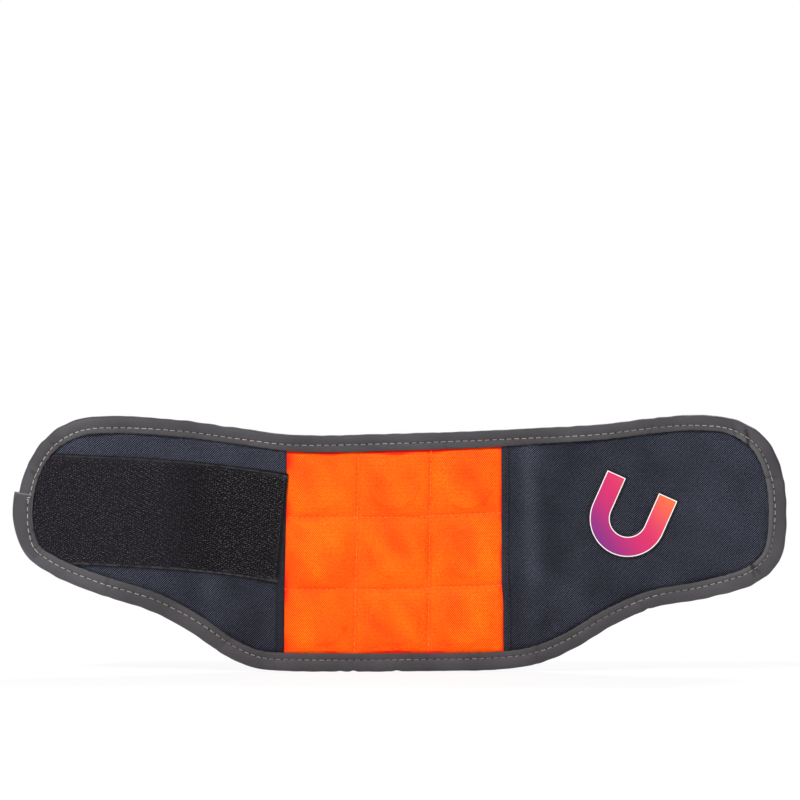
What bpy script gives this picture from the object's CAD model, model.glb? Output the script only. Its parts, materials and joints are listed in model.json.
# Magnetic wristband: a curved band of cloth over spacer mesh, bound round its edge with folded
# tape. Nine disc magnets lie in the quilted squares of its middle, and hook tape on one wing
# closes on loop tape on the other. Metres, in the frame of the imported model.
import json

import bpy
import numpy as np
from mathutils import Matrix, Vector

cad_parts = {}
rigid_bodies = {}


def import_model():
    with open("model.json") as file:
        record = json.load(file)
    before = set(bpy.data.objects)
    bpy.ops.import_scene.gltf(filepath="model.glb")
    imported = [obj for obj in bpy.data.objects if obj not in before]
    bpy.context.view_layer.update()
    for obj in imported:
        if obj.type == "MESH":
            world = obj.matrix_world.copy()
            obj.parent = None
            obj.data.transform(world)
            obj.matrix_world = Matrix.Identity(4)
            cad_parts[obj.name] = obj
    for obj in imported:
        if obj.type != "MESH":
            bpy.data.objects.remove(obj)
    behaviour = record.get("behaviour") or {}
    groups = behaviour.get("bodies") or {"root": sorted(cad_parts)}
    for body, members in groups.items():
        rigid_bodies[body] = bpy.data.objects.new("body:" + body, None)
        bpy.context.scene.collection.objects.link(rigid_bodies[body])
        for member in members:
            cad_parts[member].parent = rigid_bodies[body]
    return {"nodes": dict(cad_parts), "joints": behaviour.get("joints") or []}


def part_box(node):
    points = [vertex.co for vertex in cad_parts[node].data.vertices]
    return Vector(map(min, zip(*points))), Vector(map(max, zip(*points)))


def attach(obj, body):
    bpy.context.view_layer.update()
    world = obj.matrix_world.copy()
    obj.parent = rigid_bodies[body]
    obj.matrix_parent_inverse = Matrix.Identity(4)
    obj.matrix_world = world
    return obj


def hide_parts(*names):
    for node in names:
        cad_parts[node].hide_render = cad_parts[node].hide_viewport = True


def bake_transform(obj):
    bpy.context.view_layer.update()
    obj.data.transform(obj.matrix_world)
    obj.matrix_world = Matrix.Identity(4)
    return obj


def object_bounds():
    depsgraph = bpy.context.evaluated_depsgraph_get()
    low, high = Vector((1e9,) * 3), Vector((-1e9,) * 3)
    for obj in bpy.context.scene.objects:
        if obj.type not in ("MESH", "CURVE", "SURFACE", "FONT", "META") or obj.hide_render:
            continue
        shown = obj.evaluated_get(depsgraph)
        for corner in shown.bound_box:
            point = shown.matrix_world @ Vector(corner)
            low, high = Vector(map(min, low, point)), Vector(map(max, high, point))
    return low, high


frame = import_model()
cad_box = [list(corner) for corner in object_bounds()]
MM = 0.001

# The view: the wristband stands on its lower edge on a pale floor, seen square on to its outer
# face from far enough away that it looks flat, a little below the middle of the frame.
VIEW_WIDTH = 362.3 * MM
CAMERA_PLACE = (2.7 * MM, -2200 * MM, 69.3 * MM)
SENSOR = 36
FLOOR_REACH = 20
SHADOW_START = 0.3
SHADOW_END = 1.2
SHADOW_SHARE = 0.16
SKY_STRENGTH = 0.3

camera = bpy.data.objects.new("camera", bpy.data.cameras.new("camera"))
camera.data.sensor_width = SENSOR
camera.data.lens = SENSOR * -CAMERA_PLACE[1] / VIEW_WIDTH
camera.data.clip_end = 2 * FLOOR_REACH
camera.location = CAMERA_PLACE
camera.rotation_euler = (np.pi / 2, 0, 0)
bpy.context.scene.collection.objects.link(camera)
bpy.context.scene.camera = camera
bpy.context.scene.view_settings.view_transform = "Standard"


def colour(red, green, blue):
    """A colour as it looks on a screen, 0 to 255, made the light that a shader works in."""
    share = np.array((red, green, blue)) / 255
    light = np.where(share > 0.04045, ((share + 0.055) / 1.055) ** 2.4, share / 12.92)
    return (*light.tolist(), 1)


class Value:
    """A value in a material's nodes. Arithmetic on it adds Math nodes, with numbers on either side."""

    def __init__(self, finish, socket):
        self.finish = finish
        self.socket = socket

    def math(self, operation, *values):
        return self.finish.node("Math", dict(enumerate(values)), operation=operation)

    def __add__(self, other):
        return self.math("ADD", self, other)

    def __sub__(self, other):
        return self.math("SUBTRACT", self, other)

    def __rsub__(self, other):
        return self.math("SUBTRACT", other, self)

    def __mul__(self, other):
        return self.math("MULTIPLY", self, other)

    def __pow__(self, other):
        return self.math("POWER", self, other)

    __radd__ = __add__
    __rmul__ = __mul__

    def __abs__(self):
        return self.math("ABSOLUTE", self)

    def to_nearest(self, pitch):
        """The distance to the nearest multiple of the pitch."""
        return self.math("PINGPONG", self, pitch / 2)

    def wave(self):
        """The sine, moved into the range from 0 to 1."""
        return self.math("SINE", self) * 0.5 + 0.5

    def ribs(self, pitch, uneven=0):
        """Ribs one pitch apart along the value: 1 on each crest and 0 between them."""
        return (self * (2 * np.pi / pitch) + uneven).wave()

    def between(self, low, high):
        """0 where the value is low, 1 where it is high, and smooth in between."""
        return self.finish.node("MapRange", {0: self, 1: low, 2: high}, interpolation_type="SMOOTHSTEP")


class Finish:
    """A material. Its nodes are made one at a time, settings first, then the sockets' values."""

    def __init__(self, name, **surface):
        self.material = bpy.data.materials.new(name)
        self.material.use_nodes = True
        self.tree = self.material.node_tree
        self.surface = self.tree.nodes["Principled BSDF"]
        self.feed(self.surface, {key.replace("_", " "): value for key, value in surface.items()})

    def feed(self, node, values):
        for socket, value in values.items():
            if isinstance(value, Value):
                self.tree.links.new(value.socket, node.inputs[socket])
            else:
                node.inputs[socket].default_value = value

    def node(self, kind, values, out=0, **settings):
        node = self.tree.nodes.new("ShaderNode" + kind)
        for setting, value in settings.items():
            setattr(node, setting, value)
        self.feed(node, values)
        return Value(self, node.outputs[out])

    def mix(self, share, *shades, blend="MIX"):
        """Between two shades, each a value or a colour from 0 to 255."""
        first, second = (shade if isinstance(shade, Value) else colour(*shade) for shade in shades)
        return self.node(
            "Mix", {0: share, 6: first, 7: second}, out=2, data_type="RGBA", blend_type=blend
        )

    def noise(self, place, scale, detail=2.0, roughness=0.5):
        values = {"Vector": place, "Scale": scale, "Detail": detail, "Roughness": roughness}
        return self.node("TexNoise", values)

    def cloth_place(self):
        """Where a point lies on the cloth as it was cut, in metres: along, up, and both as a vector."""
        place = self.node("UVMap", {}, uv_map="cloth")
        return *(self.node("SeparateXYZ", {0: place}, out=index) for index in (0, 1)), place

    def crease(self):
        """1 deep in a crease, -1 on the crest of a fold, and 0 where the cloth lies flat."""
        return self.node("Attribute", {}, out=2, attribute_name="crease")

    def paint(self, shade):
        """Gives the surface its colour."""
        self.feed(self.surface, {"Base Color": shade})

    def relief(self, height, distance):
        """Raises the surface by the height, 0 to 1, times the distance."""
        bump = self.node("Bump", {"Height": height, "Distance": distance, "Strength": 1.0})
        self.feed(self.surface, {"Normal": bump})


# Where it is looked at, straight or by way of a gloss or a pane, the floor glows white but for the
# soft shadow round the band. To all other rays it is a pale floor.
floor_finish = Finish("pale_floor", Base_Color=colour(248, 248, 248), Roughness=0.9)
camera_ray, glossy_ray, passing_ray = (floor_finish.node("LightPath", {}, out=index) for index in (0, 3, 6))
looked_at = camera_ray.math("MAXIMUM", camera_ray.math("MAXIMUM", camera_ray, glossy_ray), passing_ray)
floor_place = floor_finish.node("TexCoord", {}, out=3)
from_band = floor_finish.node("VectorMath", {0: floor_place}, out=1, operation="LENGTH")
shadow = from_band.between(SHADOW_END, SHADOW_START) * SHADOW_SHARE
glow = floor_finish.node("Emission", {"Color": (1, 1, 1, 1), "Strength": 1})
pale = Value(floor_finish, floor_finish.surface.outputs[0])
mixed = floor_finish.node("MixShader", {0: looked_at * (1 - shadow), 1: pale, 2: glow})
floor_finish.feed(floor_finish.tree.nodes["Material Output"], {"Surface": mixed})

floor_corners = np.array(((-1, -1, 0), (1, -1, 0), (1, 1, 0), (-1, 1, 0))) * FLOOR_REACH
floor_mesh = bpy.data.meshes.new("floor")
floor_mesh.from_pydata((floor_corners + (0, 0, cad_box[0][2])).tolist(), [], [(0, 1, 2, 3)])
floor_mesh.materials.append(floor_finish.material)
floor = bpy.data.objects.new("floor", floor_mesh)
bpy.context.scene.collection.objects.link(floor)

world = bpy.data.worlds.new("studio")
bpy.context.scene.world = world
world.use_nodes = True
sky = world.node_tree.nodes
paths = sky.new("ShaderNodeLightPath")
brightness = sky.new("ShaderNodeMath")
brightness.operation = "MAXIMUM"
brightness.inputs[1].default_value = SKY_STRENGTH
sky["Background"].inputs["Color"].default_value = (1, 1, 1, 1)
world.node_tree.links.new(paths.outputs["Is Camera Ray"], brightness.inputs[0])
world.node_tree.links.new(brightness.outputs[0], sky["Background"].inputs["Strength"])


def softbox(name, place, size, brightness_share):
    """A square lamp that looks at the wristband: it lights a white card there to the share of white."""
    lamp = bpy.data.objects.new(name, bpy.data.lights.new(name, "AREA"))
    distance = np.linalg.norm(place)
    lamp.data.size = size
    lamp.data.energy = brightness_share * (np.pi * distance) ** 2
    lamp.location = place
    lamp.rotation_euler = Vector(place).to_track_quat("Z", "Y").to_euler()
    bpy.context.scene.collection.objects.link(lamp)


softbox("key_lamp", (-0.7, -1.3, 1.5), 0.7, 0.85)
softbox("fill_lamp", (1.1, -1.7, 0.4), 1.2, 0.14)
softbox("back_lamp", (0.6, 1.6, 1.3), 0.7, 0.8)

# The band as it was cut: its outline, and the bend lines where its cloth gives when it is wrapped
# round a wrist. Each layer is made in one strip for each bend line, which bends there.
BAND_HEIGHT = 116.3 * MM
BELOW_ORIGIN_SHARE = 0.459
CURVE_STEPS = 60
STATIONS = 1080
BEND_REACH = 9 * MM
LOOP_WING_BEND_REACH = 14 * MM
LAP_MIDDLE = 12.5 * MM
SWAY = 0.7 * MM
SWAY_SPAN = 95 * MM
SWAY_START = 60 * MM
LEFT_STRAY = 1.1 * MM
RIGHT_STRAY = 0.85 * MM
LOOP_SIDE_SHARES = [
    (0, 0.927), (0.27, 0.941), (0.525, 0.963), (0.676, 0.992), (0.777, 1), (0.873, 0.979),
    (0.946, 0.906), (0.986, 0.786), (1, 0.606), (0.982, 0.433), (0.923, 0.347), (0.794, 0.287),
    (0.665, 0.252), (0.558, 0.182), (0.456, 0.089), (0.372, 0.034), (0.282, 0.01), (0, 0.002),
]
HOOK_SIDE_SHARES = [
    (0.27, 0), (0.37, 0.013), (0.452, 0.064), (0.54, 0.152), (0.645, 0.233), (0.792, 0.303),
    (0.909, 0.377), (0.977, 0.454), (1, 0.588), (0.983, 0.764), (0.927, 0.906), (0.845, 0.98),
    (0.739, 0.997), (0.557, 0.977), (0.399, 0.943), (0.264, 0.921),
]
hook_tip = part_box("binding_hook_wing_tip")[0].x
loop_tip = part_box("binding_loop_wing_tip")[1].x
panel_left_edge, panel_right_edge = (
    next(joint["pos_m"][0] for joint in frame["joints"] if joint["name"] == name)
    for name in ("hook_wing_wrap", "loop_wing_wrap")
)
bends = sorted(frame["joints"], key=lambda joint: joint["pos_m"][0])
bend_places = np.array([joint["pos_m"][0] for joint in bends])
strip_edges = (bend_places[1:] + bend_places[:-1]) / 2


def ease(share):
    """0 below 0, 1 above 1, and smooth in between."""
    share = np.clip(share, 0, 1)
    return share * share * (3 - 2 * share)


def hump(along, middle, width):
    """1 at the middle, falling to 0 on either side of it within about the width."""
    return np.exp(-(((along - middle) / width) ** 2))


def ripples(x, z, span, seed, count=9):
    """Uneven waves of about the span: a sum of plane waves in drawn directions, mostly from -1 to 1."""
    draw = np.random.default_rng(seed)
    turns, phases = draw.uniform(0, 2 * np.pi, (2, count))
    lengths = span * draw.uniform(0.7, 1.5, count)
    waves = (
        np.sin((x * np.cos(turn) + z * np.sin(turn)) * 2 * np.pi / length + phase)
        for turn, phase, length in zip(turns, phases, lengths)
    )
    return sum(waves) / np.sqrt(count)


def through(points, steps):
    """A smooth closed line through the points. Each span is a cubic whose two end slopes come from
    the three chords round it, each weighed by the square root of its length."""
    before, after, beyond = (np.roll(points, shift, axis=0) for shift in (1, -1, -2))

    def chord(a, b):
        return np.sqrt(np.linalg.norm(b - a, axis=1))[:, None]

    first, middle, last = chord(before, points), chord(points, after), chord(after, beyond)
    leaving = ((points - before) / first - (after - before) / (first + middle)) * middle + after - points
    arriving = ((beyond - after) / last - (beyond - points) / (middle + last)) * middle + after - points
    t = np.arange(steps)[:, None, None] / steps
    line = (
        (2 * t**3 - 3 * t**2 + 1) * points + (t**3 - 2 * t**2 + t) * leaving
        + (3 * t**2 - 2 * t**3) * after + (t**3 - t**2) * arriving
    )
    return line.transpose(1, 0, 2).reshape(-1, 2)


def evenly(line, count):
    """The closed line again, with count points the same distance apart."""
    closed = np.vstack((line, line[:1]))
    walked = np.concatenate(([0], np.cumsum(np.linalg.norm(np.diff(closed, axis=0), axis=1))))
    stops = np.arange(count) / count * walked[-1]
    return np.column_stack([np.interp(stops, walked, closed[:, axis]) for axis in (0, 1)]), walked[-1]


corners = [(along * loop_tip, up) for along, up in LOOP_SIDE_SHARES]
corners += [(along * hook_tip, up) for along, up in HOOK_SIDE_SHARES]
corners = np.array([(x, (up - BELOW_ORIGIN_SHARE) * BAND_HEIGHT) for x, up in corners])
outline, outline_length = evenly(through(corners, CURVE_STEPS), STATIONS)
first_station = np.hypot(outline[:, 0] - hook_tip, outline[:, 1] - LAP_MIDDLE).argmin()
outline = np.roll(outline, -first_station, axis=0)
heading = np.roll(outline, -1, axis=0) - np.roll(outline, 1, axis=0)
heading /= np.linalg.norm(heading, axis=1)[:, None]
inward = np.column_stack((heading[:, 1], -heading[:, 0]))
walked = np.arange(STATIONS) / STATIONS * outline_length

# Thirty stretches clockwise from the middle of the upper edge: how far the binding's fold, its
# stitches and its lip lie inside the outline, in millimetres.
TAKE_UP = np.array([
    (0.3, 4.7, 8.0), (0.3, 4.6, 8.0), (0.1, 4.6, 7.3), (0.3, 4.8, 7.3), (0.5, 5.0, 7.5), (0.2, 5.1, 7.2),
    (-0.2, 5.3, 8.1), (0, 5.3, 8.2), (-0.2, 5.9, 8.4), (-0.4, 5.4, 7.9), (-0.5, 4.7, 7.5), (-0.4, 4.7, 7.7),
    (-0.3, 4.8, 7.9), (-0.2, 5.3, 8.0), (-0.2, 5.2, 8.0), (-0.4, 5.0, 8.0), (0, 5.4, 8.4), (0, 5.3, 8.3),
    (0, 5.9, 8.7), (0.1, 5.6, 8.8), (0.1, 5.3, 8.8), (0, 5.0, 8.0), (0, 5.1, 7.3), (0.1, 5.4, 7.0),
    (0.3, 5.7, 8.0), (0.5, 5.8, 8.3), (0.2, 5.1, 7.8), (-0.1, 4.8, 7.2), (0.2, 4.7, 7.9), (0.3, 4.8, 8.1),
]) * MM
shares = (np.arange(STATIONS) + first_station) / STATIONS
stretches = (np.arange(len(TAKE_UP)) + 0.5) / len(TAKE_UP)
fold_inset, stitch_inset, lip_inset = (np.interp(shares, stretches, column, period=1) for column in TAKE_UP.T)


def edges_at(x, inset):
    """The heights of the lower and upper edge at x, once the outline is drawn in by the inset,
    which is one distance or one for each station."""
    ring = outline + inward * np.reshape(inset, (-1, 1))
    ring = np.roll(ring, -ring[:, 0].argmin(), axis=0)
    turn = ring[:, 0].argmax()
    under = np.vstack((ring[turn:], ring[:1]))[::-1]
    return np.interp(x, under[:, 0], under[:, 1]), np.interp(x, ring[: turn + 1, 0], ring[: turn + 1, 1])


def inset_of(x, z):
    """How far inside the outline each point lies: its distance to the nearest station."""
    places = np.column_stack((np.ravel(x), np.ravel(z)))
    nearest = [
        np.sqrt(((part[:, None] - outline[::3]) ** 2).sum(axis=2).min(axis=1))
        for part in np.array_split(places, 1 + len(places) // 8000)
    ]
    return np.concatenate(nearest).reshape(np.shape(x))


def places_through(marks, step):
    """Places from the first mark to the last, through every mark and about a step apart."""
    spans = [
        np.linspace(low, high, max(2, int(np.ceil((high - low) / step))), endpoint=False)
        for low, high in zip(marks, marks[1:])
    ]
    return np.append(np.concatenate(spans), marks[-1])


def columns(low, high, step, more=()):
    """Places along the band from low to high that fall on each bend line, each strip's edge and more."""
    marks = np.sort(np.concatenate((bend_places, strip_edges, more)))
    return places_through([low, *marks[(marks > low) & (marks < high)], high], step)


def grid(x, lower, upper, rows):
    """Each column's x, and the heights of its rows, which are shares of the way up the column."""
    z = lower[:, None] + (upper - lower)[:, None] * rows
    return np.broadcast_to(x[:, None], z.shape), z


def points_of(*parts):
    """Points or places whose values are the parts, which may be grids, rows, columns or numbers."""
    return np.stack(np.broadcast_arrays(*parts), axis=-1)


def inside_edge(stations, inset, depth):
    """Points inside the outline at those stations, by a grid of insets and depths."""
    place = outline[stations][:, None] + inward[stations][:, None] * inset[..., None]
    return points_of(place[..., 0], depth, place[..., 1])


def cells(front, back, place=None):
    """A cloth of closed cells between two grids of points, whose first way runs to the right and
    second way up as seen from the front: the points, the cells' six faces, where each lies along
    the band, and each point's place on the cloth as cut, which is x and z unless it is given. A
    third value there is 1 deep in a crease and -1 on the crest of a fold."""
    across, up = front.shape[:2]
    corner = np.arange(across * up).reshape(across, up)
    quads = np.stack((corner[:-1, :-1], corner[1:, :-1], corner[1:, 1:], corner[:-1, 1:]), axis=-1)
    quads = quads.reshape(-1, 4)
    behind = quads + across * up
    sides = [
        np.stack((quads[:, i], behind[:, i], behind[:, j], quads[:, j]), axis=-1)
        for i, j in ((0, 1), (1, 2), (2, 3), (3, 0))
    ]
    points = np.concatenate((front.reshape(-1, 3), back.reshape(-1, 3)))
    at = points[quads][:, :, 0].mean(axis=1)
    place = points[:, ::2] if place is None else np.tile(place.reshape(-1, place.shape[-1]), (2, 1))
    return points, np.concatenate((quads, behind[:, ::-1], *sides)), np.tile(at, 6), place


def strands(paths, across, radius, sides=4):
    """Closed little tubes along paths that each lie in the plane square to `across`: round each
    point lies a ring of the radius, from `across` towards the third direction."""
    count, rings = paths.shape[:2]
    along = np.gradient(paths, axis=1)
    lift = np.cross(along, across[:, None])
    lift /= np.linalg.norm(lift, axis=2)[:, :, None]
    turn = (np.arange(sides) / sides * 2 * np.pi)[:, None]
    reach = np.broadcast_to(radius, (count, rings))[:, :, None, None]
    ring = np.cos(turn) * across[:, None, None] + np.sin(turn) * lift[:, :, None]
    points = (paths[:, :, None] + reach * ring).reshape(-1, 3)
    index = np.arange(count * rings * sides).reshape(count, rings, sides)
    beside = np.roll(index, -1, axis=2)
    corner_loops = (index[:, :-1], beside[:, :-1], beside[:, 1:], index[:, 1:])
    walls = np.stack(corner_loops, axis=-1).reshape(count, -1, 4)
    fans = [(0, corner, corner + 1, corner + 2) for corner in range(1, sides - 2, 2)]
    ends = [index[:, -1][:, fan] for fan in fans] + [index[:, 0][:, fan[::-1]] for fan in fans]
    faces = np.concatenate((walls, np.stack(ends, axis=1)), axis=1)
    at = np.repeat(paths[:, :, 0].mean(axis=1), faces.shape[1])
    return points, faces.reshape(-1, 4), at, points[:, ::2]


def join(*layers):
    """Several sets of points, faces and places as one."""
    points, faces, at, place = zip(*layers)
    starts = np.cumsum([0] + [len(part) for part in points])
    faces = [part + start for part, start in zip(faces, starts)]
    return [np.concatenate(parts) for parts in (points, faces, at, place)]


def sway(x):
    """How far the band waves through its thickness: not at all at the panel, more along the wings."""
    past_panel = np.maximum(x - panel_right_edge, panel_left_edge - x)
    return SWAY * ease(past_panel / SWAY_START) * np.sin(2 * np.pi * x / SWAY_SPAN)


def seam_stray(x, z):
    """How far outwards the panel's side seam on that side has strayed: further the lower it is."""
    left = LEFT_STRAY * ease((40 * MM - z) / (75 * MM))
    return np.where(x < 0, left, RIGHT_STRAY * ease((-10 * MM - z) / (14 * MM)))


def past_seam(x, z):
    """How far outside the nearer side seam a point lies."""
    return np.abs(x) - panel_right_edge - seam_stray(x, z)


# Pieces: each is closed cloth or thread. A solid counts as shown where a strip overlaps it.
SHARP = np.radians(50)
OVERLAP = 3 * MM


def make_piece(name, finish, points, faces, place):
    """A mesh object of the closed faces, with its doubled inner walls left out."""
    _, first, count = np.unique(np.sort(faces, axis=1), axis=0, return_index=True, return_counts=True)
    used, corner = np.unique(faces[np.sort(first[count == 1])], return_inverse=True)
    corner = corner.ravel()
    moved = points[used] + np.outer(sway(points[used, 0]), (0, 1, 0))
    mesh = bpy.data.meshes.new(name)
    mesh.vertices.add(len(used))
    mesh.vertices.foreach_set("co", moved.ravel())
    mesh.loops.add(len(corner))
    mesh.loops.foreach_set("vertex_index", corner)
    mesh.polygons.add(len(corner) // 4)
    mesh.polygons.foreach_set("loop_start", np.arange(0, len(corner), 4))
    mesh.update(calc_edges=True)
    mesh.uv_layers.new(name="cloth").uv.foreach_set("vector", place[used, :2][corner].ravel())
    if place.shape[1] > 2:
        mesh.attributes.new("crease", "FLOAT", "POINT").data.foreach_set("value", place[used, 2])
    mesh.shade_smooth()
    mesh.set_sharp_from_angle(angle=SHARP)
    mesh.materials.append(finish.material)
    piece = bpy.data.objects.new(name, mesh)
    bpy.context.scene.collection.objects.link(piece)
    return piece


def reaches(at, box):
    """Whether the places along the band go well into the box."""
    return at.min() < box[1].x - OVERLAP and at.max() > box[0].x + OVERLAP


def lay(name, finish, layer, stands_for=("none",)):
    """Cuts a layer into strips, one piece for each bend line, and bends each piece there. The
    pieces stand for the solids whose names start with one of stands_for and that the strip is on."""
    points, faces, at, place = layer
    pieces = []
    for index, bend in enumerate(bends):
        on_strip = np.searchsorted(strip_edges, at) == index
        own, own_at = faces[on_strip], at[on_strip]
        if not len(own):
            continue
        piece = make_piece(f"{name}_{bend['name']}", finish, points, own, place)
        bodies = (bend["parent"], bend["child"])
        if bend["pos_m"][0] < 0:
            bodies = bodies[::-1]
        reach = LOOP_WING_BEND_REACH if bend_places[index] > panel_right_edge + 1 * MM else BEND_REACH
        start, end = bend_places[index] + np.array((-reach, reach))
        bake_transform(piece)
        for node in frame["nodes"]:
            if node.startswith(stands_for) and reaches(own_at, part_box(node)):
                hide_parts(node)
        pieces.append(piece)
    return pieces


def lay_whole(name, finish, layer):
    """A layer as one piece, which rides the hook wing's tip."""
    points, faces, at, place = layer
    piece = make_piece(name, finish, points, faces, place)
    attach(piece, "hook_wing_tip")
    return piece


def declare_sheet(piece, tape_width=None):
    """Says what size the piece's cloth was cut to: half of its surface, in the shape of its box,
    or a length of tape of that width."""
    area = sum(face.area for face in piece.data.polygons) / 2
    if tape_width is None:
        spans = np.array(piece.dimensions)[[0, 2]]
        width, length = spans * max(1, np.sqrt(area / spans.prod()))
    else:
        width, length = tape_width, area / tape_width


# Spacer mesh, the lining next to the skin: a thick knit of black polyester, open with round holes
# on the wrist's side over a closed back. The binding presses its edge thin and is sewn through it.
HOLE_SPACING = 5.65 * MM
HOLE_ROWS = 4.4 * MM
HOLE_RADIUS = 1.0 * MM
HOLE_DEPTH = 1.3 * MM
HOLE_STRAY = 0.13 * MM
TO_RIM = 0.55
KNIT_GROOVE = 0.22 * MM
MESH_TRIM = 4.6 * MM
PRESSED_FROM = 7.6 * MM
PRESSED_TO = 12.5 * MM
PRESSED_DEPTH = 1.15 * MM
mesh_front, mesh_face = (corner.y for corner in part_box("lining_panel_centre"))

magnet_low, magnet_high = (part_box(f"magnet_panel_{side}")[0] for side in ("left_bottom", "right_top"))
magnet_front = magnet_low.y
magnet_pitch = (magnet_high - magnet_low) / 2
middle_low, middle_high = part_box("magnet_panel_centre_middle")
magnet_size = middle_high - middle_low
magnet_middle = (middle_high + middle_low) / 2


def on_panel(finish):
    """1 behind the panel and 0 behind the wings."""
    return abs(finish.cloth_place()[0]).between(panel_right_edge, panel_right_edge - 4 * MM)


def orange_behind(finish):
    """How much the panel's orange shows from behind: fully between the magnets, a little on them."""
    along, up, place = finish.cloth_place()
    from_column = (along - magnet_middle.x).to_nearest(magnet_pitch.x)
    from_row = (up - magnet_middle.z).to_nearest(magnet_pitch.z)
    from_magnet = (from_column**2 + from_row**2) ** 0.5
    return on_panel(finish) * (from_magnet.between(magnet_size.x * 0.3, magnet_size.x * 0.68) * 0.75 + 0.25)


knit = Finish("knit_mesh", Roughness=0.6, Specular_IOR_Level=0.15)
place = knit.cloth_place()[2]
yarn = knit.noise(place, 2200, detail=3, roughness=0.65)
glints = knit.noise(place, 900, detail=2, roughness=0.7)
patches = knit.noise(place, 90)
bright = (yarn * 0.45 + glints * 0.4 + patches * 0.15).between(0.44, 0.62)
black_yarn = knit.mix(bright * (1 - on_panel(knit) * 0.4), (7, 6, 8), (73, 70, 78))
see_through = orange_behind(knit) * knit.noise(place, 1100, detail=1).between(0.42, 0.62)
knit.paint(knit.mix(see_through * 0.75, black_yarn, (56, 8, 12)))
knit.relief(yarn, 0.25 * MM)

holes_along = np.arange(np.floor(hook_tip / HOLE_SPACING * 2), np.ceil(loop_tip / HOLE_SPACING * 2) + 1)
holes_up = np.arange(np.floor(cad_box[0][2] / HOLE_ROWS) - 1, np.ceil(cad_box[1][2] / HOLE_ROWS) + 1)
hole_x, hole_z = np.meshgrid(holes_along, holes_up, indexing="ij")
hole_z = (hole_z + (hole_x % 2) / 2) * HOLE_ROWS
hole_x = hole_x * HOLE_SPACING / 2
lower, upper = edges_at(hole_x, MESH_TRIM)
kept = (hole_z > lower) & (hole_z < upper)
kept &= (hole_x > hook_tip + MESH_TRIM) & (hole_x < loop_tip - MESH_TRIM)
holes = np.column_stack((hole_x[kept], hole_z[kept]))

# Each hole's share of the knit is a hexagon that reaches halfway to its neighbours
half_width = (HOLE_SPACING**2 + HOLE_ROWS**2) / (4 * HOLE_SPACING)
half_top = (HOLE_SPACING**2 - HOLE_ROWS**2) / (4 * HOLE_SPACING)
hexagon = np.array([
    (half_width, 0), (half_top, HOLE_ROWS / 2), (-half_top, HOLE_ROWS / 2),
    (-half_width, 0), (-half_top, -HOLE_ROWS / 2), (half_top, -HOLE_ROWS / 2),
])
border = np.stack((hexagon, (hexagon + np.roll(hexagon, -1, axis=0)) / 2), axis=1).reshape(-1, 2)
rim = border / np.linalg.norm(border, axis=1)[:, None] * HOLE_RADIUS
stray = np.random.default_rng(3).normal(0, HOLE_STRAY, (len(holes), 1, 2))
rings = [
    (holes[:, None] + border, -KNIT_GROOVE),
    (holes[:, None] + border * (1 - TO_RIM) + rim * TO_RIM + stray / 2, 0),
    (holes[:, None] + rim + stray, -KNIT_GROOVE),
    (holes[:, None] + rim + stray, -HOLE_DEPTH),
    (holes[:, None] + border, -HOLE_DEPTH),
]
flat_rings = np.stack([ring for ring, depth in rings], axis=1)
from_edge = inset_of(flat_rings[..., 0], flat_rings[..., 1])
pressed = 1 - ease((from_edge - PRESSED_FROM) / (PRESSED_TO - PRESSED_FROM))
depths = mesh_face + np.array([depth for ring, depth in rings])[:, None] - PRESSED_DEPTH * pressed
knit_points = points_of(flat_rings[..., 0], depths, flat_rings[..., 1])
index = np.arange(depths.size).reshape(depths.shape)
beside = np.roll(index, -1, axis=2)
around = [
    np.stack((index[:, b], beside[:, b], beside[:, a], index[:, a]), axis=-1).reshape(len(holes), -1, 4)
    for a, b in ((0, 1), (1, 2), (2, 3), (3, 4), (4, 0))
]
faces = np.concatenate(around, axis=1)
knit_at = np.repeat(holes[:, 0], faces.shape[1])
knit_points = knit_points.reshape(-1, 3)
rounded = np.round(knit_points / (MM / 1000))
_, first, welded = np.unique(rounded, axis=0, return_index=True, return_inverse=True)
knit_points = knit_points[first]
knit_layer = knit_points, welded.ravel()[faces.reshape(-1, 4)], knit_at, knit_points[:, ::2]
for piece in lay("mesh_face", knit, knit_layer, ("lining",)):
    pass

# The closed back of the mesh, flat against the magnets. The panel's orange shows through it, but
# hardly where the magnets lie.
BACK_THICKNESS = 1.0 * MM
CLOTH_STEP = 1.7 * MM
CLOTH_ROWS = 56

mesh_back = Finish("mesh_back", Roughness=0.7, Specular_IOR_Level=0.1)
speckle = mesh_back.noise(mesh_back.cloth_place()[2], 900)
see_through = orange_behind(mesh_back) * speckle.between(0.2, 0.6)
mesh_back.paint(mesh_back.mix(see_through, (12, 11, 13), (134, 16, 20)))
mesh_back.relief(speckle, 0.3 * MM)

x = columns(hook_tip + MESH_TRIM, loop_tip - MESH_TRIM, CLOTH_STEP)
x, z = grid(x, *edges_at(x, MESH_TRIM), np.linspace(0, 1, CLOTH_ROWS + 1))
back_layer = cells(points_of(x, mesh_front, z), points_of(x, mesh_front + BACK_THICKNESS, z))
for piece in lay("mesh_back", mesh_back, back_layer, ("lining",)):
    declare_sheet(piece)

# Disc magnets, nickel-plated and lying loose in the pockets behind the squares. They are the
# model's own discs, dulled a little by rubbing against the cloth.
nickel = Finish("nickel_plate", Metallic=1.0, Base_Color=colour(196, 194, 188))
grain = nickel.noise(nickel.node("TexCoord", {}, out=3), 900, detail=4)
nickel.feed(nickel.surface, {"Roughness": grain * 0.25 + 0.15})
for name, node in frame["nodes"].items():
    if name.startswith("magnet_"):
        node.data.materials.clear()
        node.data.materials.append(nickel.material)

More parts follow.
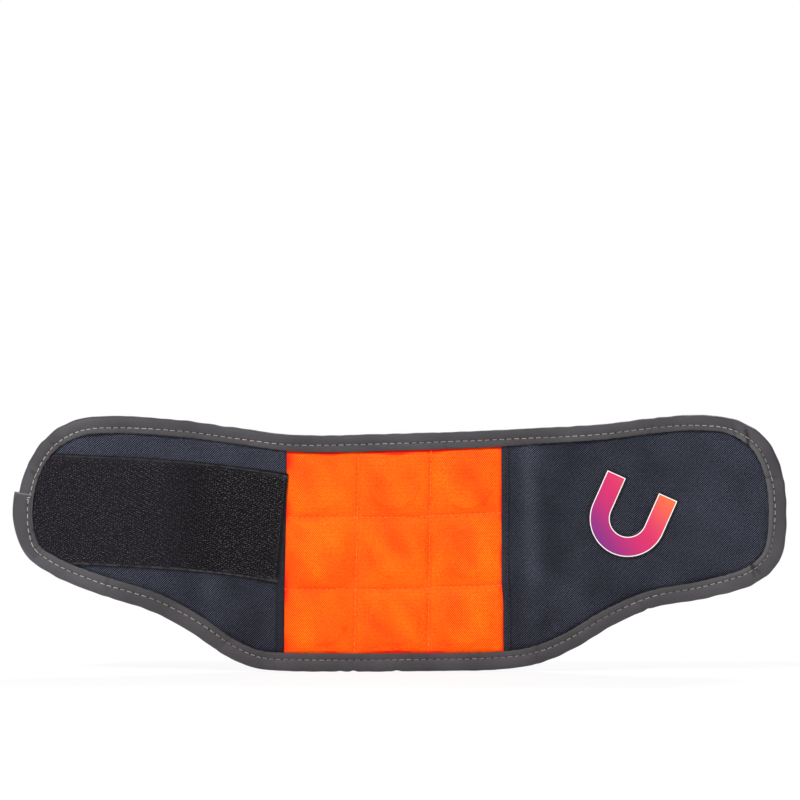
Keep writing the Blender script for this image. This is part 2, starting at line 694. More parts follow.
# Twill, the cloth of the panel and the wings: coated polyester whose ribs climb to the right. It
# ends under the binding, and swells in front of the panel to make room for the magnets.
FABRIC_TRIM = 4.6 * MM
fabric_front, fabric_back = (corner.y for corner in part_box("fabric_loop_wing_tip"))
crown = fabric_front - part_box("fabric_panel_centre")[0].y
thickness = fabric_back - fabric_front


def twill(finish, dark, light, mottle_low, mottle_high, rib_along, rib_up, rib_share, relief, seen_from):
    """Diagonal ribs crossed by finer threads, between two colours. The cloth is paler on a fold's
    crest and where it is worn, and darker in a crease."""
    along, up, place = finish.cloth_place()
    uneven = finish.noise(place, 420) * 1.6
    climb, run = up * (2 * np.pi / rib_up), along * (2 * np.pi / rib_along)
    height = (climb - run + uneven).wave() * rib_share + (climb + run + uneven).wave() * (1 - rib_share)
    slub = finish.noise(place, 1100, detail=2) - 0.5
    woven = finish.mix((height + slub * 0.5).between(seen_from, seen_from + 0.53), dark, light)
    slow = finish.noise(place, 34, detail=4, roughness=0.6).between(0.3, 0.7)
    tint = finish.mix(slow * 0.3 + 0.3 - finish.crease() * 0.45, mottle_low, mottle_high)
    finish.relief(height, relief)
    return finish.mix(1.0, woven, tint, blend="MULTIPLY")


def near_lip(x, z):
    """1 beside the binding's lip, falling to 0 two millimetres further in."""
    lower, upper = edges_at(x, lip_inset)
    return hump(np.minimum(upper - z, z - lower).clip(0), 0, 1.1 * MM)


# Panel: orange twill, sewn down along two upright lines and two rows into nine squares, whose
# middles swell over the magnets. Its sides lie under the wings' hems, and its ends in the binding.
PANEL_STEP = 0.8 * MM
ROWS_IN_SQUARE = 42
PAST_LIP = 0.12
UNDER_HEM = 1.8 * MM
SQUARE_WIDTH = 32.8 * MM
SQUARE_HEIGHT = 33 * MM
GROOVE_WIDTH = 0.8 * MM
GROOVE_DEPTH = 0.18 * MM
SEAM_SINK = 0.35 * MM
WRINKLE = 0.36 * MM
SEW_LENGTH = 2.5 * MM
SEW_PITCH = 2.7 * MM
SEW_RADIUS = 0.14 * MM
SEW_STRAY = 0.06 * MM
LIP_PRESS = 0.45 * MM
LOWER_ROW = -16.2 * MM
LOWER_ROW_RISE = 1.8 * MM
UPPER_ROW = 16.3 * MM
UPPER_ROW_RISE = 2 * MM

# The panel's side seams and upright quilting lines: where each crosses the origin's height, and
# how far it leans for each metre up
SIDE_LINES = np.array((-49.25, -17.0, 16.0, 49.15)) * MM
SIDE_LEANS = np.array((0.0125, 0.0217, 0.0149, -0.0102))

orange = Finish("orange_twill", Roughness=0.7, Specular_IOR_Level=0.12)
shade = twill(
    orange, (255, 68, 0), (255, 204, 22), (255, 120, 120), (255, 255, 255),
    0.906 * MM, 1.208 * MM, 0.5, 0.09 * MM, 0.42,
)
orange.paint(orange.mix(orange.crease().between(0.2, 1.1), shade, (250, 32, 8)))


def quilt_rows(x):
    """The heights of the panel's lower lip, its two quilting rows and its upper lip at x."""
    low, high = edges_at(x, lip_inset)
    rise = ease(x / (panel_right_edge * 1.1))
    lower_row, upper_row = LOWER_ROW + LOWER_ROW_RISE * rise, UPPER_ROW + UPPER_ROW_RISE * rise
    return np.stack((low, lower_row, upper_row, high), axis=-1)


def swell(share):
    """0 at each seam and 1 over the middle of each square, level where the magnet lies."""
    return 1 - np.abs(2 * (share % 1) - 1) ** 4


def puckers(x, z):
    """Soft folds of the panel, most of them slanting, as a share of their depth."""
    slanting = ripples(x + 0.7 * z, (z - 0.7 * x) * 0.3, 19 * MM, 5)
    return slanting + 0.35 * ripples(x + 0.7 * z, z * 0.5, 10 * MM, 6)


def from_line(squares):
    """The distance to the nearest seam, as a share of a square."""
    return np.minimum(squares % 1, -squares % 1)


x = columns(panel_left_edge - UNDER_HEM, panel_right_edge + UNDER_HEM, PANEL_STEP, SIDE_LINES[1:3])
trim_low, trim_high = (edge[:, None] for edge in edges_at(x, FABRIC_TRIM))
marks = np.hstack((trim_low, quilt_rows(x), trim_high))
past_lip = np.linspace(-PAST_LIP, 0, 6)[:-1]
row = np.concatenate((past_lip, np.linspace(0, 3, 1 + 3 * ROWS_IN_SQUARE), 3 - past_lip[::-1]))
place_in_marks = np.interp(row, (-PAST_LIP, 0, 1, 2, 3, 3 + PAST_LIP), np.arange(6))
below = np.minimum(place_in_marks.astype(int), 4)
z = marks[:, below] + (marks[:, below + 1] - marks[:, below]) * (place_in_marks - below)
square_across = np.interp(x, SIDE_LINES, np.arange(4))[:, None]
x = x[:, None] + np.interp(x, SIDE_LINES, SIDE_LEANS)[:, None] * z
puff = swell(square_across) * swell(np.clip(row, 0, 3))
from_row = from_line(row) * SQUARE_HEIGHT
from_column = from_line(square_across) * SQUARE_WIDTH
groove = np.maximum(hump(from_column, 0, GROOVE_WIDTH), hump(from_row, 0, GROOVE_WIDTH))
surface = (
    fabric_front + 0.3 * MM - 0.8 * crown * puff - WRINKLE * puckers(x, z) * (puff * 1.2).clip(0, 1)
    - SEAM_SINK * (1 - puff) + GROOVE_DEPTH * groove + LIP_PRESS * near_lip(x, z) * (z > 0)
)

# It is redder in its creases: beside the side seams, at the rows there, and in scallops at the lips
side_reach = np.where(x < 0, 5.5, 2.5) * MM
to_side = ease(1 + past_seam(x, z) / side_reach) * (0.5 + 0.4 * ripples(x * 0.3, z, 24 * MM, 7))
at_row = hump(from_row, 0, 4.5 * MM) * (x > 0)
to_side = np.maximum(to_side, ease(1 + past_seam(x, z) / (3 * MM)) * at_row)
lip_low, lip_high = edges_at(x, lip_inset)
lip_wave = ripples(x, z * 0, 20 * MM, 8)
from_upper_lip = lip_high - z - 0.7 * MM * (0.7 + lip_wave)
from_lower_lip = z - lip_low - 0.5 * MM * (0.6 + lip_wave)
scallop = ease(1 - from_upper_lip / (1.2 * MM))
scallop = scallop + ease(1 - from_lower_lip / (0.7 * MM)) * (0.75 + 0.3 * lip_wave)
crease = np.maximum(np.maximum(to_side, scallop), 0.3 * groove)
crease = np.clip(crease - 0.22 * puckers(x, z) * puff * (1 - scallop), -1, 1)

# Over each magnet the cloth stays clear of the disc
to_column, to_row = (
    np.abs((along - middle) - np.round((along - middle) / pitch).clip(-1, 1) * pitch)
    for along, middle, pitch in ((x, magnet_middle.x, magnet_pitch.x), (z, magnet_middle.z, magnet_pitch.z))
)
over_magnet = ease((magnet_size.x / 2 + 2.5 * MM - np.hypot(to_column, to_row)) / (2.5 * MM))
clear_of_magnet = magnet_front - thickness - 0.12 * MM - 0.12 * MM * (1 + puckers(x, z))
surface = surface + np.minimum(clear_of_magnet - surface, 0) * over_magnet
panel_layer = cells(points_of(x, surface, z), points_of(x, surface + thickness, z), points_of(x, z, crease))
for piece in lay("panel_fabric", orange, panel_layer, ("fabric_panel",)):
    declare_sheet(piece)


def sewn_line(
    line_x, line_z, depth, length=SEW_LENGTH, pitch=SEW_PITCH, radius=SEW_RADIUS, side=-1, seed=11, stops=None
):
    """A row of stitches along a line on the outer face (side -1) or the wrist's face (side 1). Each
    is a bow of five points that comes up out of the cloth and dips into it again. Depth is the
    surface's there, and stops says how far along each point of the line lies."""
    if stops is None:
        stops = np.concatenate(([0], np.cumsum(np.hypot(np.diff(line_x), np.diff(line_z)))))
    starts = np.arange((pitch - length) / 2, stops[-1] - length, pitch)
    draw = np.random.default_rng(seed)
    stray = draw.normal(0, SEW_STRAY, (2, len(starts), 2))
    depth = np.broadcast_to(depth, line_x.shape)

    def point(stop, stray):
        across, up = (np.interp(stop, stops, line) + part for line, part in zip((line_x, line_z), stray.T))
        return np.column_stack((across, np.interp(stop, stops, depth) - side * radius * 1.6, up))

    start, end = point(starts, stray[0]), point(starts + length, stray[1])
    along = (end - start) / np.linalg.norm(end - start, axis=1)[:, None]
    across = np.cross(along, (0, 1, 0))
    across /= np.linalg.norm(across, axis=1)[:, None]
    profile = np.array((0.7, 1, 1.05, 1, 0.7)) * radius * draw.uniform(0.8, 1.15, (len(starts), 1))
    share = np.linspace(0, 1, 5)[:, None]
    lift = (0, side, 0) * (2.2 * radius * (1 - (2 * share - 1) ** 4))
    return strands(start[:, None] * (1 - share) + end[:, None] * share + lift, across, profile, 6)


def thread(name, uneven, dark, light):
    """A spun thread between two colours, uneven at that scale."""
    finish = Finish(name, Roughness=0.5, Specular_IOR_Level=0.3)
    finish.paint(finish.mix(finish.noise(finish.cloth_place()[2], uneven), dark, light))
    return finish


orange_thread = thread("orange_thread", 700, (242, 82, 10), (255, 160, 62))
quilting = []
span = np.linspace(0, 1, 200)
for number in (1, 2):
    lowest, *_, highest = quilt_rows(SIDE_LINES[number])
    line_z = lowest + (highest - lowest) * span
    line_x = SIDE_LINES[number] + SIDE_LEANS[number] * line_z
    quilting.append(sewn_line(line_x, line_z, fabric_front + 0.1 * MM))
    line_x = (panel_left_edge - UNDER_HEM) * (1 - span) + (panel_right_edge + UNDER_HEM) * span
    quilting.append(sewn_line(line_x, quilt_rows(line_x)[:, number], fabric_front + 0.1 * MM))
lay("quilting_stitches", orange_thread, join(*quilting))

# Wings: navy twill from the panel's side seams to the tips. Next to the panel it is folded under
# and sewn down over the orange cloth's edge, which leaves a raised hem on either side.
WING_STEP = 1.4 * MM
HEM_STEP = 0.4 * MM
HEM_ZONE = 7 * MM
HEM_RISE = 0.75 * MM
HEM_OVERLAP = 0.7 * MM
HOOK_HEM = 2.5 * MM
LOOP_HEM = 2.1 * MM
WING_WRINKLE = 0.34 * MM
WING_ROWS = 90
TAPE_WIDTH = 50 * MM
HOOK_TAPE_LEAN = 0.102

# The hook tape's middle climbs towards the tip and levels out
HOOK_TAPE_LINE = np.array([
    (-160, 20.3), (-127.7, 19), (-102.3, 17.3), (-85.6, 16.2), (-72.9, 14.6), (-60.7, 12.6), (-50, 11),
]) * MM
hook_tape_middle = np.polynomial.Polynomial.fit(*HOOK_TAPE_LINE.T, 3)

# The wings' short folds: middle, half length and half width in millimetres, slope in degrees, share
SOFT_FOLDS = (
    (65, 28, 12, 3, 90, -0.17), (67, -9.5, 7, 4, -45, 0.35), (78, -20, 7, 5, -25, 0.2),
    (55.5, -27, 9, 3, 90, -0.1), (67.5, -33, 7, 4, 60, -0.32), (141, 33, 16, 7, 90, 0.27),
    (95, -14, 11, 9, 0, -0.25), (157, 26, 11, 6, 90, -0.32), (-77, -23.5, 10, 2.8, -57, 0.2),
    (-71.5, -15, 6, 3.5, -60, -0.22), (-88.3, -20, 6, 4, -50, -0.22), (-62, -34, 8, 3, 90, -0.15),
    (-90, 46, 11, 6, -8, -0.5), (-64, 44, 10, 5, -10, -0.5),
)

navy = Finish("navy_twill", Roughness=0.7, Specular_IOR_Level=0.08)
shade = twill(
    navy, (2, 3, 8), (114, 119, 139), (120, 120, 126), (255, 255, 255),
    1.086 * MM, 1.03 * MM, 0.85, 0.17 * MM, 0.49,
)
navy.paint(navy.mix(navy.crease() * 0.8, shade, (9, 9, 15)))

emblem_low, emblem_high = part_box("emblem")
emblem_middle = (emblem_low + emblem_high) / 2


def crest(x, z):
    """1 along the upright fold of the loop wing and less along the hook wing's, and 0 beside them."""
    hook_side = 0.5 * hump(x, -83.5 * MM, 5.5 * MM) * ease(-z / (9 * MM))
    loop_side = hump(x + 0.04 * z, 62.3 * MM, 3.8 * MM) * (0.2 + 0.8 * ease((z + 24 * MM) / (16 * MM)))
    return np.where(x < 0, hook_side, loop_side)


def beside_folds(x, z):
    """The cloth's hollows beside those folds, as shares of a crease."""
    wide = 0.13 * hump(x, 73 * MM, 7 * MM) * ease((z + 22 * MM) / (16 * MM))
    return wide + 0.1 * hump(x, 55 * MM, 3 * MM) + 0.1 * hump(x, -65 * MM, 7 * MM)


def soft_folds(x, z):
    """The wings' short folds, as shares of a long one: above 0 on a crest and below 0 in a hollow.
    Each is an oval that fades with its distance along and across."""
    total = 0
    for across, up, length, width, slope, share in SOFT_FOLDS:
        turn = np.radians(slope)
        right, above = x / MM - across, z / MM - up
        lengthwise = (right * np.cos(turn) + above * np.sin(turn)) / length
        sideways = (above * np.cos(turn) - right * np.sin(turn)) / width
        total = total + share * np.exp(-(lengthwise**2) - sideways**2)
    return total


def wing_depth(x, z):
    """Depth of the wings' outer face: slow wrinkles, flat under the hook tape and the emblem, one
    upright fold past each side seam and a raised hem beside it."""
    from_tape = np.abs(z - hook_tape_middle(x)) - TAPE_WIDTH / 2
    from_emblem = np.hypot(x - emblem_middle.x, z - emblem_middle.z)
    free = np.where(x < 0, ease((from_tape + 1 * MM) / (4 * MM)), ease((from_emblem - 22 * MM) / (8 * MM)))
    waves = ripples(x, z * 0.6, 24 * MM, 21) + 0.5 * ripples(x, z, 11 * MM, 22)
    rise = WING_WRINKLE * (waves * free + 1.2 * crest(x, z) + soft_folds(x, z))
    past = past_seam(x, z)
    hem = np.where(x < 0, HOOK_HEM, LOOP_HEM)
    ridge = ease((past + HEM_OVERLAP) / (0.5 * MM)) * (1 - ease((past - hem) / (1.2 * MM)))
    ridge = ridge - np.where(x < 0, 0.2, 0.3) * hump(past - hem, -0.1 * MM, 0.4 * MM)
    return fabric_front - rise * ease((past - hem) / (3 * MM)) - HEM_RISE * ridge


for side, sense, edge, tip, hem, line_share, hem_share in (
    ("hook", -1, panel_left_edge, hook_tip, HOOK_HEM, 0.35, 0.15),
    ("loop", 1, panel_right_edge, loop_tip, LOOP_HEM, 0.28, 0),
):
    start = edge - sense * HEM_OVERLAP
    turn = start + sense * HEM_ZONE
    end = tip - sense * FABRIC_TRIM
    coarse, fine = columns(*sorted((turn, end)), WING_STEP), columns(*sorted((start, turn)), HEM_STEP)
    x = np.unique(np.concatenate((coarse, fine)))
    x, z = grid(x, *edges_at(x, FABRIC_TRIM), np.linspace(0, 1, WING_ROWS + 1))
    x = x + sense * seam_stray(x, z) * ease(1 - np.abs(x - start) / HEM_ZONE)
    lipped = near_lip(x, z)
    depth = wing_depth(x, z) + LIP_PRESS * lipped
    past = past_seam(x, z)
    beside_hem = line_share * hump(past - hem, 0.3 * MM, 0.6 * MM) + hem_share * (past < hem)
    worn = 0.75 * ease((z - 30 * MM) / (8 * MM)) + 0.45 * ease((-102 * MM - x) / (6 * MM)) * (z < 0)
    paler = 0.9 * crest(x, z) + 0.25 * ease((x - 118 * MM) / (18 * MM)) + worn * (x < 0)
    hollow = lipped * 0.2 + beside_hem + beside_folds(x, z) - soft_folds(x, z) - paler
    place = points_of(x, z, hollow.clip(-1, 1))
    layer = cells(points_of(x, depth, z), points_of(x, depth + thickness, z), place)
    for piece in lay(f"{side}_wing_fabric", navy, layer, (f"fabric_{side}",)):
        declare_sheet(piece)

dark_thread = thread("dark_thread", 900, (12, 13, 18), (58, 60, 72))
low, high = edges_at(panel_right_edge + LOOP_HEM, 8.5 * MM)
hem_z = np.linspace(low, high, 200)
hem_x = panel_right_edge + LOOP_HEM - 0.1 * MM + seam_stray(1, hem_z)
hem_stitches = sewn_line(hem_x, hem_z, wing_depth(hem_x, hem_z) - 0.05 * MM)
lay("hem_stitches", dark_thread, hem_stitches)

# Binding: a grosgrain tape folded round the raw edges of mesh and twill, and sewn through both
# with one line of pale thread. Past the stitches its edge stands free as a thin lip.
BINDING_SOLIDS = ("binding_top", "binding_bottom", "binding_hook", "binding_loop")
BINDING_SPREAD = 20.8 * MM
BINDING_WALL = 0.6 * MM
STITCH_INSET = 5.65 * MM
STITCH_PITCH = 3.3 * MM
STITCH_LENGTH = 2.7 * MM
STITCH_RADIUS = 0.17 * MM
FOLD_WOBBLE = 0.07 * MM
LIP_WOBBLE = 0.06 * MM
LIP_WIDTH = 2.4 * MM
LIP_BLEND = 0.7 * MM
LIP_FROM = 6.2 * MM
LIP_REACH = 2.4 * MM
FOLD_REACH = 2.2 * MM
PUCKER = 0.13 * MM
PUCKER_REACH = 1.7 * MM
BINDING_PROFILE = np.array([
    (8.75, -4.5), (8.7, -4.82), (8.3, -5.05), (7.5, -5.12), (6.7, -5.08), (6.2, -4.96), (5.85, -4.8),
    (5.65, -4.74), (5.45, -4.8), (5.0, -4.98), (4.2, -5.14), (3.0, -5.22), (1.9, -5.14), (1.0, -4.88),
    (0.4, -4.4), (0.08, -3.6), (0, -2.6), (0.08, -1.5), (0.4, -0.7), (1.0, -0.25), (1.9, 0.02),
    (3.0, 0.1), (4.2, 0.04), (5.0, -0.12), (5.45, -0.3), (5.65, -0.36), (5.85, -0.3), (6.2, -0.16),
    (6.8, -0.02), (7.6, 0.04), (8.3, -0.02), (8.65, -0.2), (8.75, -0.5),
]) * MM

# Which of those points lie deepest in the two rows of stitches, and on the fold between them
OUTER_GROOVE, FOLD, WRIST_GROOVE = 7, 16, 25


def spans_of(profile):
    """How far along its profile each point lies."""
    return np.append(0, np.cumsum(np.linalg.norm(np.diff(profile, axis=0), axis=1)))


spread = spans_of(BINDING_PROFILE)
spread *= BINDING_SPREAD / spread[-1]
groove_spread = abs(spread[OUTER_GROOVE] - BINDING_SPREAD / 2)

weave = Finish("binding_tape", Roughness=0.55, Specular_IOR_Level=0.22)
along, across, place = weave.cloth_place()
uneven = weave.noise(place, 300) * 2
height = across.ribs(0.55 * MM, uneven) * 0.65 + along.ribs(0.4 * MM, uneven) * 0.35
mottle = (height * 0.35 + weave.noise(place, 40, detail=4) * 0.65).between(0.2, 0.8)
from_fold = across - BINDING_SPREAD / 2
lip_start = BINDING_SPREAD / 2 - LIP_WIDTH
lip_share = abs(from_fold).between(lip_start - LIP_BLEND, lip_start)
rolled, lip = weave.mix(mottle, (53, 51, 54), (80, 77, 82)), weave.mix(mottle, (53, 50, 52), (82, 79, 82))
outer = weave.mix(lip_share, rolled, lip)
cloth_colour = weave.mix(from_fold.between(-1 * MM, 1 * MM) * 0.4, outer, (132, 130, 136))
from_groove = abs(abs(from_fold) - groove_spread)
hole = from_groove.between(0.5 * MM, 0.2 * MM) * along.to_nearest(STITCH_PITCH).between(0.75 * MM, 0.35 * MM)
pierced = weave.mix(hole * 0.75 * weave.noise(place, 150).between(0.3, 0.55), cloth_colour, (22, 20, 22))
darker = weave.mix(weave.crease(), pierced, (20, 19, 21))
weave.paint(weave.mix(weave.crease() * -1, darker, (150, 148, 152)))
weave.relief(height, 0.05 * MM)


def thicken(profile, wall):
    """The profile moved towards its inside by the wall, square to its own direction."""
    slope = np.gradient(profile, axis=0)
    slope /= np.linalg.norm(slope, axis=1)[:, None]
    return profile + wall * np.column_stack((slope[:, 1], -slope[:, 0]))


round_trip = np.append(np.arange(STATIONS), 0)
along_edge = np.append(walked, outline_length)
# Creases across the binding, in millimetres and shares: where each crosses the edge, how far it
# draws in the fold, how deep it is, how dark its line is, and how much it slants.
CREASES = np.array([
    (158, 59.2, 0, 0.9, 1.6, 0.95), (152, 61, 0, 0.6, 0.25, 0.6), (170, 33, 0.2, 0.5, 0.35, -0.3),
    (167, -10, 0.2, 0.7, 0.8, 0.2), (163.5, -13, 0.2, 0.5, 0.6, -0.3), (-158, 51, 0.3, 0.6, 0.4, 0.35),
    (-169, 40, 0.3, 0.7, 0.35, -0.35), (20, 53, 0.2, 0.4, 0.2, 0.35), (64, -48, 0.3, 0.6, 0.35, -0.35),
    (114.4, -25, 0.9, 0.6, 0.3, 0.5), (-75, -36, 0.3, 0.6, 0.3, -0.35), (-130, -23, 0.3, 0.5, 0.2, 0.35),
    (118, 62, 0.3, 0.4, 0.2, -0.35), (-172, 6, 0.3, 0.6, 0.9, 0.35), (-18.3, -53.4, 1, 0.3, 0, 0),
    (1.4, -53.3, 0.8, 0.3, 0, 0), (-24.3, -53.3, 0.5, 0.2, 0, 0),
])
NOTCH = 0.6 * MM
DENT = 0.5 * MM
CREASE_REACH = 1.5 * MM
crossings = [
    along_edge[np.hypot(*(outline[round_trip] - crossing).T).argmin()] for crossing in CREASES[:, :2] * MM
]


def creased(inset, sizes, width):
    """How near each point of the binding is to its creases: each crease's size there, falling off
    along the edge within the width."""
    return sum(
        size * hump(along_edge[:, None] - slant * inset, crossing, width)
        for size, crossing, slant in zip(sizes, crossings, CREASES[:, 5])
    )


flutter = np.random.default_rng(31)
edge_turns = 2 * np.pi * along_edge[:, None] / outline_length
wander, front_lip, wrist_lip = (
    sum(
        np.sin(turns * edge_turns + phase) * size
        for turns, phase, size in zip(
            flutter.integers(low, high, 14), flutter.uniform(0, 6.3, 14), flutter.uniform(0.1, 0.5, 14)
        )
    )
    for low, high in ((25, 120), (60, 260), (60, 260))
)


def wrap(profile):
    """A profile of insets and depths carried round the outline. Its fold wanders, its lip flutters,
    the cloth pulls in at each stitch, and a few creases run across it."""
    inset, depth = profile.T
    sewn, lip_end, fold_end = (line[round_trip, None] for line in (stitch_inset, lip_inset, fold_inset))
    past = (inset - STITCH_INSET) / (BINDING_PROFILE[0, 0] - STITCH_INSET)
    taken = np.where(past > 0, sewn + past * (lip_end - sewn), inset / STITCH_INSET * sewn)
    taken = fold_end * ease(1 - inset / (4 * MM)) + taken
    outwards = np.where(depth < BINDING_PROFILE[FOLD, 1], -1, 1)
    lip_part = ease((inset - LIP_FROM) / LIP_REACH)
    lip_waves = LIP_WOBBLE * np.where(outwards < 0, front_lip, wrist_lip) * lip_part
    near_stitch = hump(inset, STITCH_INSET, PUCKER_REACH) * ease(inset / MM)
    pucker = -np.cos(2 * np.pi * along_edge[:, None] / STITCH_PITCH) * near_stitch * PUCKER
    fold_waves = FOLD_WOBBLE * wander + NOTCH * creased(inset, CREASES[:, 2], CREASE_REACH)
    drawn = taken + fold_waves * hump(inset, 0, FOLD_REACH) + lip_waves
    dent = DENT * creased(inset, CREASES[:, 3], CREASE_REACH) * ease(inset / (3 * MM)) * (1 - 0.5 * lip_part)
    return inside_edge(round_trip, drawn, depth + outwards * (pucker + 0.3 * lip_waves - dent))


inset = BINDING_PROFILE[:, 0]
marks = creased(inset, CREASES[:, 4], 0.6 * MM) * ease((inset - 1.5 * MM) / (2.5 * MM))
edge_x, edge_z = outline[round_trip].T[:, :, None]
on_lip = ease((inset - LIP_FROM) / (1 * MM))
worn = (
    0.08 * ease((-120 * MM - edge_x) / (25 * MM)) + 0.12 * on_lip * ease((edge_x - 140 * MM) / (25 * MM))
    - 0.08 * on_lip * ease((-38 * MM - edge_z) / (8 * MM))
    + 0.05 * ease((edge_x - 150 * MM) / (10 * MM)) * ease((edge_z - 45 * MM) / (8 * MM))
    - 0.12 * ease((-150 * MM - edge_x) / (8 * MM)) * ease((edge_z - 38 * MM) / (8 * MM))
)
place = points_of(along_edge[:, None], spread, (marks - worn).clip(-1, 1))
binding = cells(wrap(BINDING_PROFILE), wrap(thicken(BINDING_PROFILE, BINDING_WALL)), place)
for piece in lay("binding", weave, binding, BINDING_SOLIDS):
    declare_sheet(piece, BINDING_SPREAD)

pale_thread = Finish("pale_thread", Roughness=0.45, Specular_IOR_Level=0.3)
along, up, place = pale_thread.cloth_place()
twist = (along + up).ribs(0.45 * MM)
paler = along.between(-118 * MM, -145 * MM) * 0.25 - up.between(-36 * MM, -44 * MM) * 0.1
spun = (twist * 0.3 + pale_thread.noise(place, 38, detail=1) * 0.7 + paler).between(0.3, 0.7)
pale_thread.paint(pale_thread.mix(spun, (96, 93, 91), (192, 186, 179)))
stitch_line = (outline + inward * stitch_inset[:, None])[round_trip]
for name, side, groove, seed in (
    ("outer_stitches", -1, OUTER_GROOVE, 41),
    ("wrist_stitches", 1, WRIST_GROOVE, 42),
):
    sewn = sewn_line(
        *stitch_line.T, BINDING_PROFILE[groove, 1], STITCH_LENGTH, STITCH_PITCH, STITCH_RADIUS, side, seed,
        along_edge,
    )
    lay(name, pale_thread, sewn)

# Lap: where the binding's end covers its start, at the tip of the hook wing. It is the same tape,
# cut square, wrapped a little wide of the edge and sewn down with a few stitches back and forth.
LAP_TOP = 28 * MM
LAP_BOTTOM = -4 * MM
LAP_WALL = 0.5 * MM
LAP_OVERHANG = 2 * MM
LAP_SEWN = 4.9 * MM
LAP_PROFILE = np.array([
    (6.1, -5.1), (6.0, -5.5), (5.6, -5.66), (5.2, -5.56), (4.9, -5.4), (4.6, -5.56), (4.0, -5.8),
    (3.0, -5.9), (1.6, -5.84), (0.4, -5.6),
    (-0.8, -5.0), (-1.6, -4.2), (-2.0, -3.2), (-2.0, -2.0), (-1.7, -0.9), (-1.0, -0.1), (0.2, 0.42),
    (1.6, 0.66), (3.0, 0.72), (4.4, 0.66), (5.3, 0.44), (5.7, 0.3), (6.1, 0.44), (6.9, 0.56), (7.5, 0.4),
    (7.6, 0.1),
]) * MM
LAP_GROOVE = 4  # the profile's point deepest in its stitches
CUT_DARKER = 0.6
LAP_DARKER = -0.045
near_tip = outline[:, 0] < hook_tip + 12 * MM
lap_stations = np.flatnonzero(near_tip & (outline[:, 1] > LAP_BOTTOM) & (outline[:, 1] < LAP_TOP))
lap_stations = lap_stations[np.argsort(outline[lap_stations, 1])]
lap_height = outline[lap_stations, 1]
rising = ease((lap_height - LAP_BOTTOM) / (24 * MM))[:, None]


def lap_grid(profile):
    """The lap's profile along the tip, drawn in to the binding's own fold at its lower end."""
    inset, depth = profile.T
    spread_out = inset + (1 - rising) * (
        LAP_OVERHANG * ease((4 * MM - inset) / (6 * MM)) + 1.5 * MM * ease((inset - 3.5 * MM) / (2 * MM))
    )
    pressed_down = depth - (1 - rising) * np.where(depth < -2.6 * MM, -0.45, 0.45) * MM
    return inside_edge(lap_stations, spread_out, pressed_down)


lap_line = outline[lap_stations] + inward[lap_stations] * LAP_SEWN
lap_spread = spans_of(LAP_PROFILE)
lap_fold, lap_groove = lap_spread[LAP_PROFILE[:, 0].argmin()], lap_spread[LAP_GROOVE]
lap_across = BINDING_SPREAD / 2 + (lap_spread - lap_fold) * groove_spread / (lap_fold - lap_groove)
cut_edge = ease((lap_height - lap_height.max() + 0.8 * MM) / (0.4 * MM))[:, None]
lap_place = points_of(spans_of(lap_line)[:, None], lap_across, LAP_DARKER - CUT_DARKER * cut_edge)
lap_layer = cells(lap_grid(LAP_PROFILE), lap_grid(thicken(LAP_PROFILE, LAP_WALL)), lap_place)
lap = lay_whole("binding_lap_cover", weave, lap_layer)
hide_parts("binding_lap")
declare_sheet(lap, lap_spread[-1])

lap_sewn = [
    sewn_line(*lap_line.T, depth, STITCH_LENGTH, STITCH_PITCH, STITCH_RADIUS, side, seed)
    for depth, side, seed in ((-5.36 * MM, -1, 43), (0.3 * MM, 1, 44))
]
tack_at = lap_stations[-2]
tack = [
    outline[tack_at] + inward[tack_at] * inset * MM - (0, drop * MM)
    for inset, drop in ((6.0, 0.6), (3.4, 1.0), (5.6, 2.6))
]
for ends in (tack[:2], tack[1:]):
    ends_x, ends_z = np.transpose(ends)
    tacked = sewn_line(
        ends_x, ends_z, -5.5 * MM, STITCH_LENGTH * 0.8, STITCH_LENGTH * 0.85, STITCH_RADIUS * 0.9, -1, 47
    )
    lap_sewn.append(tacked)
lay_whole("binding_lap_stitches", pale_thread, join(*lap_sewn))

# Hook tape: a stiff nylon tape sewn flat on the hook wing, with rows of small hooks between two
# smooth woven edges. Every second hook bends towards the tip, and the others towards the panel.
HOOK_TAPE_FRONT = -5.0 * MM
TAPE_BACK = -4.3 * MM
TAPE_STEP = 1.6 * MM
SELVEDGE = 1.8 * MM
HOOK_PITCH = 1.04 * MM
HOOK_ROWS = 1.0 * MM
HOOK_STRAY = 0.12 * MM
HOOK_RADIUS = 0.14 * MM
TAPE_ROWS = 38
TAPE_END = 1.6 * MM
HOOK_TAPE_START = hook_tip + 7.3 * MM
hook_end = panel_left_edge - 1.05 * MM
tape_trim = lip_inset + 0.15 * MM
HOOK_PATH = np.array([(0, 0), (-0.05, 0.35), (0.04, 0.65), (0.22, 0.76), (0.38, 0.58)]) * MM

hook_nylon = Finish("hook_nylon", Roughness=0.6, Specular_IOR_Level=0.12)
along, up, place = hook_nylon.cloth_place()
ground = up.ribs(0.6 * MM) * along.ribs(0.8 * MM)
bare = hook_nylon.mix(ground * 0.5 + hook_nylon.noise(place, 700) * 0.5, (6, 5, 8), (48, 45, 54))
bare = hook_nylon.mix(along.between(-106 * MM, -84 * MM) * 0.6, bare, (6, 5, 7))
fibres = hook_nylon.noise(place, 420, detail=3).between(0.35, 0.65)
edged = hook_nylon.mix(hook_nylon.crease() * -1, bare, hook_nylon.mix(fibres, (34, 32, 36), (74, 70, 74)))
hook_nylon.paint(hook_nylon.mix(hook_nylon.crease(), edged, (8, 8, 10)))
hook_nylon.relief(ground, 0.1 * MM)
hook_tips = Finish("hook_tips", Roughness=0.5, Specular_IOR_Level=0.2)
along, up, place = hook_tips.cloth_place()
speckle = hook_tips.noise(place, 1100)
tips = hook_tips.mix(speckle.between(0.35, 0.7), (20, 18, 23), (116, 111, 122))
